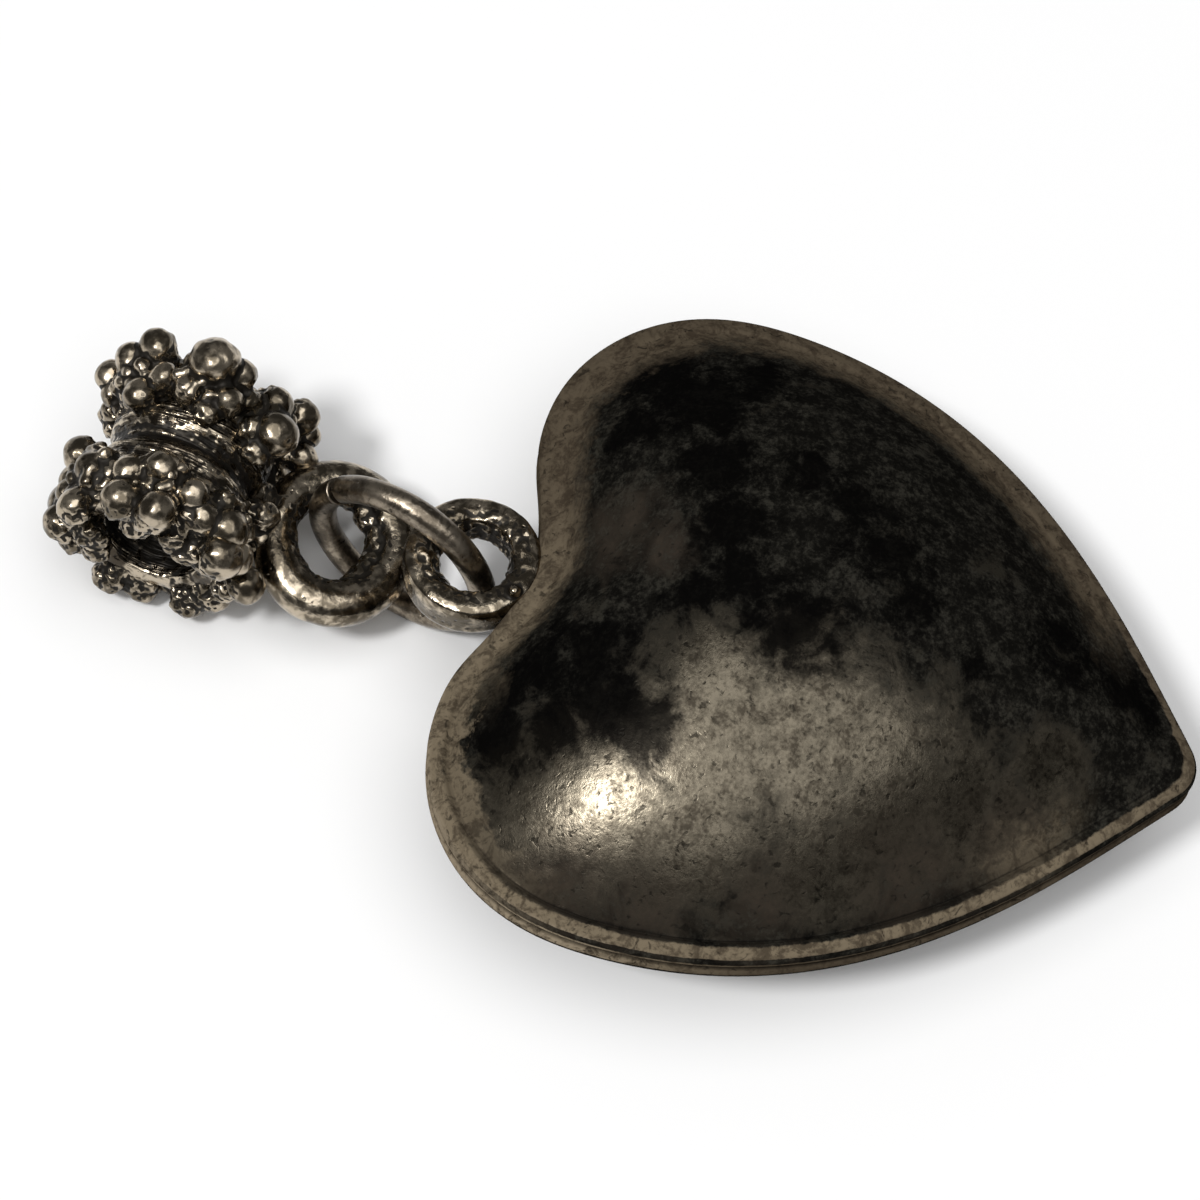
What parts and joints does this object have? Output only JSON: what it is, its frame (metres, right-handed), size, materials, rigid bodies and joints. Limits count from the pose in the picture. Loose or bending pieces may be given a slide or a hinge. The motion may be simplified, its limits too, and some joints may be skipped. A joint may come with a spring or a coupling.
{
  "type": "heart charm",
  "caption": "Puffed heart charm with a cast loop in its cleft, linked by an open round jump ring to the loop of a granulated sleeve bail that slides onto a cord or chain.",
  "frame": {"origin": "Middle of the charm's footprint as it lies on its back, on the surface it lies on.", "axes": "+Y runs from the heart's tip to the bail, +X across the heart along the bail's bore, and +Z out of the heart's front, away from the surface."},
  "size_m": [0.021, 0.0338, 0.0086],
  "materials": {
    "patina_silver": "dark mottled patina on a worn satin silver alloy",
    "cast_silver": "rough cast silver alloy, bright on its high points and dark in its hollows",
    "granule_silver": "worn bright balls with dark patina between them",
    "wire_silver": "smooth drawn wire, warm grey with a dull shine"
  },
  "bodies": {
    "heart": {"heart_front_shell": "patina_silver", "heart_back_shell": "patina_silver", "heart_loop": "cast_silver"},
    "jump_ring": {"jump_ring": "wire_silver"},
    "bail": {"bail_sleeve": "cast_silver", "bail_sleeve_underside": "cast_silver", "bail_loop": "cast_silver", "granule_cluster_1": "granule_silver", "granule_cluster_2": "granule_silver", "granule_cluster_3": "granule_silver", "granule_cluster_4": "granule_silver", "granule_cluster_5": "granule_silver", "granule_cluster_6": "granule_silver", "granule_cluster_7": "granule_silver", "granule_cluster_8": "granule_silver", "granule_cluster_9": "granule_silver", "granule_cluster_10": "granule_silver", "granule_cluster_11": "granule_silver", "granule_cluster_12": "granule_silver"}
  },
  "joints": [
    {"name": "heart_loop_swing", "type": "hinge", "parent": "heart", "child": "jump_ring", "pos_m": [0, 0.00594, 0.00432], "axis": [1, 0, 0], "range_deg": [-15, 105]},
    {"name": "bail_loop_swing", "type": "hinge", "parent": "jump_ring", "child": "bail", "pos_m": [0.0007, 0.00899, 0.0021], "axis": [0.0862, 0.3796, 0.9211], "range_deg": [-70, 60]}
  ]
}
